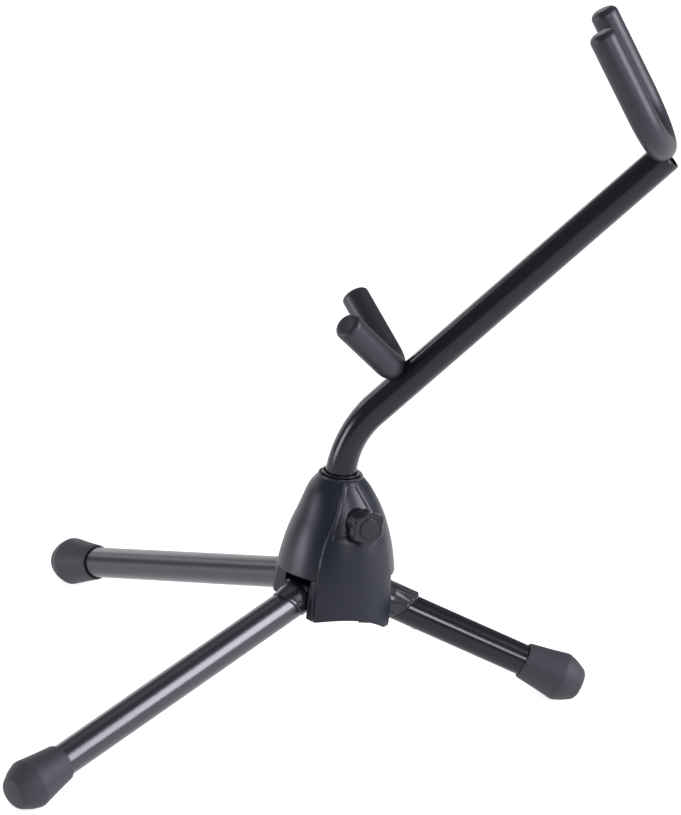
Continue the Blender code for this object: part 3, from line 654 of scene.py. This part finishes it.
def sweep(points, radii, side, steps=48, squeeze=None):
    """Rings along a path. The side vector stays level with the path's own plane."""
    rings = []
    for k, point in enumerate(points):
        ahead = (points[min(k + 1, len(points) - 1)] - points[max(k - 1, 0)]).normalized()
        across = (side - ahead * side.dot(ahead)).normalized()
        other = ahead.cross(across)
        flat = squeeze[k] if squeeze else 0.0
        ring = []
        for i in range(steps):
            a = 2 * math.pi * i / steps
            spread = across * math.cos(a) * (1 + 0.5 * flat) + other * math.sin(a) * (1 - flat)
            ring.append(point + spread * radii[k])
        rings.append(ring)
    return rings


def mast_path(steps=28):
    """The tube's centre line in world space, and how far round the bend each point is."""
    axis = HUB_AXIS
    upper = Vector((math.cos(MAST_ANGLE), 0.0, math.sin(MAST_ANGLE)))
    turn = math.acos(axis.dot(upper))
    start = axis * (MAST_CORNER - MAST_BEND_R * math.tan(turn / 2))
    inward = Vector((axis.z, 0.0, -axis.x))
    centre = start + inward * MAST_BEND_R
    points, shares = [axis * MAST_FOOT], [0.0]
    for k in range(steps + 1):
        a = turn * k / steps
        points.append(centre + (axis * math.sin(a) - inward * math.cos(a)) * MAST_BEND_R)
        shares.append(math.sin(math.pi * k / steps))
    points.append(points[-1] + upper * (MAST_END - points[-1]).dot(upper))
    return [MAST @ p for p in points], [*shares, 0.0]


def make_mast():
    points, shares = mast_path()
    across = (MAST.to_3x3() @ SIDEWAYS).normalized()
    squeeze = [MAST_SQUEEZE * share for share in shares]
    last = (points[-1] - points[-2]).normalized()
    outer = [*points[:-1], points[-1] - last * 0.4 * MM, points[-1]]
    outer_r = [TUBE_R] * len(points) + [TUBE_R - 0.3 * MM]
    rings = sweep(outer, outer_r, across, 72, [*squeeze, 0.0])
    inner = sweep(points, [TUBE_R - TUBE_WALL] * len(points), across, 72, squeeze)
    pipe = piece("mast_pipe", rings_to_mesh([*rings, *reversed(inner)], closed=True), "mast", ["mast_tube"],
                 "black_lacquer")
    rod = yoke_path(UPPER_YOKE)
    carve(pipe, [cutter(rings_to_mesh(sweep(rod, [4.3 * MM] * len(rod), across, 32)))])


def yoke_path(yoke, steps=24):
    """A U in the plane of the mast's sideways axis and a slanted direction, in world space."""
    rise = Vector((math.cos(yoke["angle"]), 0.0, math.sin(yoke["angle"])))
    arc = math.pi / 2 - yoke["splay"]
    half = []
    for k in range(1, steps + 1):
        a = arc * k / steps
        half.append((yoke["bend"] * math.sin(a), yoke["bend"] * (1 - math.cos(a))))
    arm_y, arm_w = half[-1]
    if yoke["splay"] > 0:
        run = (yoke["half"] - arm_y) / math.sin(yoke["splay"])
    else:
        run = yoke["reach"] - arm_w
    half.append((arm_y + run * math.sin(yoke["splay"]), arm_w + run * math.cos(yoke["splay"])))
    far = [yoke["base"] + SIDEWAYS * y + rise * w for y, w in half]
    near = [yoke["base"] - SIDEWAYS * y + rise * w for y, w in half]
    return [MAST @ p for p in [*reversed(near), yoke["base"], *far]]


def sleeve_end(tip, inward, edge, dish):
    """Centres and radii from a sleeve's tip face in to its full radius."""
    centres, radii = [tip + inward * dish, tip + inward * dish], [0.05 * MM, SLEEVE_R * 0.35]
    steps = 9
    for k in range(steps + 1):
        a = math.pi / 2 * k / steps
        centres.append(tip + inward * edge * (1 - math.cos(a)))
        radii.append(SLEEVE_R - edge + edge * math.sin(a))
    return centres, radii


def make_sleeve(name, yoke, edge, dish):
    """A soft moulded sleeve along the yoke, rounded at both tips and seated on the mast."""
    points = yoke_path(yoke)
    across = (MAST.to_3x3() @ SIDEWAYS).normalized()
    rise = MAST.to_3x3() @ Vector((math.cos(yoke["angle"]), 0.0, math.sin(yoke["angle"])))
    normal = across.cross(rise).normalized()
    first, last = (points[1] - points[0]).normalized(), (points[-2] - points[-1]).normalized()
    near, near_r = sleeve_end(points[0], first, edge, dish)
    far, far_r = sleeve_end(points[-1], last, edge, dish)
    line = [*near, *points[1:-1], *reversed(far)]
    radii = [*near_r, *[SLEEVE_R] * (len(points) - 2), *reversed(far_r)]
    rings = []
    for k, (centre, radius) in enumerate(zip(line, radii)):
        if k < len(near):
            ahead = first
        elif k >= len(line) - len(far):
            ahead = -last
        else:
            ahead = (line[k + 1] - line[k - 1]).normalized()
        other = ahead.cross(normal)
        turn = [2 * math.pi * i / 56 for i in range(56)]
        rings.append([centre + (normal * math.cos(a) + other * math.sin(a)) * radius for a in turn])
    sleeve = piece(f"{name}_pad", rings_to_mesh(rings), "mast", [f"{name}_yoke_sleeve"], "foam")
    path, _ = mast_path()
    saddle = rings_to_mesh(sweep(path, [TUBE_R + GAP] * len(path), across, 72))
    carve(sleeve, [cutter(saddle)])


# ---------------------------------------------------------------- stage, light and camera

def make_floor():
    builder = bmesh.new()
    bmesh.ops.create_grid(builder, x_segments=1, y_segments=1, size=9.0)
    for vertex in builder.verts:
        vertex.co.z = -0.0002
    floor = piece("floor", builder, None)
    pale = bpy.data.materials.new("pale_floor")
    pale.use_nodes = True
    shader = pale.node_tree.nodes["Principled BSDF"]
    shader.inputs["Base Color"].default_value = (0.48, 0.48, 0.49, 1.0)
    shader.inputs["Roughness"].default_value = 0.9
    shader.inputs["Emission Color"].default_value = (1.0, 1.0, 1.0, 1.0)
    shader.inputs["Emission Strength"].default_value = 0.80
    floor.data.materials.append(pale)


def softbox(name, direction, distance, size, radiance, up=(0.0, 0.0, 1.0), colour=(1.0, 1.0, 1.0)):
    """A rectangular area light facing the hub; radiance is what a mirror would show of it."""
    light = bpy.data.lights.new(name, "AREA")
    light.shape = "RECTANGLE"
    light.size, light.size_y = size
    light.energy = radiance * math.pi * size[0] * size[1]
    light.color = colour
    holder = bpy.data.objects.new(name, light)
    bpy.context.collection.objects.link(holder)
    direction, up = Vector(direction).normalized(), Vector(up)
    right = up.cross(direction)
    holder.rotation_mode = "QUATERNION"
    holder.rotation_quaternion = frame_at(Vector(), right, direction).to_quaternion()
    holder.location = LEG_MEET + direction * distance


def make_lights():
    softbox(
        "right_key", (0.875, -0.145, 0.485), 2.2, (0.9, 1.45), 14.0, (-0.583, 0.277, 0.763), (1.0, 0.97, 1.0))
    softbox("front_strip", (0.355, -0.818, 0.455), 3.4, (0.5, 0.9), 26.0)
    softbox("left_panel", (-0.975, -0.17, 0.12), 2.6, (0.9, 0.9), 11.0, colour=(0.98, 0.96, 1.0))
    softbox("left_high", (-0.79, 0.39, 0.48), 2.6, (0.6, 0.5), 4.0)
    softbox("back_left_wall", (-0.66, 0.72, 0.22), 3.0, (1.9, 1.2), 1.2)
    softbox("back_wall", (-0.20, 0.95, 0.22), 3.2, (2.2, 1.2), 1.5)
    softbox("top_fill", (-0.1, 0.35, 1.0), 3.0, (1.6, 1.6), 0.5)
    world = bpy.data.worlds.new("studio")
    world.use_nodes = True
    background = world.node_tree.nodes["Background"]
    background.inputs["Color"].default_value = (0.93, 0.94, 1.0, 1.0)
    background.inputs["Strength"].default_value = 0.30
    bpy.context.scene.world = world
    bpy.context.scene.view_settings.view_transform = "Standard"


def make_camera():
    data = bpy.data.cameras.new("camera")
    data.lens = 197.0
    data.clip_end = 100.0
    camera = bpy.data.objects.new("camera", data)
    bpy.context.collection.objects.link(camera)
    camera.location = LEG_MEET + Vector((20.0, -2499.5, 929.6)) * MM
    aim = LEG_MEET + Vector((3.9, 0.0, 105.3)) * MM
    look = (aim - camera.location).to_track_quat("-Z", "Y").to_matrix()
    roll = Matrix.Rotation(math.radians(0.97), 3, "Z")
    camera.rotation_mode = "QUATERNION"
    camera.rotation_quaternion = (look @ roll).to_quaternion()
    bpy.context.scene.camera = camera


# ---------------------------------------------------------------- build

make_camera()
make_floor()
make_lights()
dress_cad_nodes()
LEGS = {name: read_leg(name) for name in ("front", "back", "right")}
make_hub()
make_bush()
make_knob()
for leg_name, leg_data in LEGS.items():
    make_leg_tube(leg_name, leg_data)
    make_knuckle(leg_name, leg_data)
    make_rivet(leg_name, leg_data)
    make_foot(leg_name, leg_data)
make_mast()
make_sleeve("upper", UPPER_YOKE, 4.2 * MM, 0.0)
make_sleeve("lower", LOWER_YOKE, 3.0 * MM, 0.3 * MM)

bpy.context.view_layer.update()
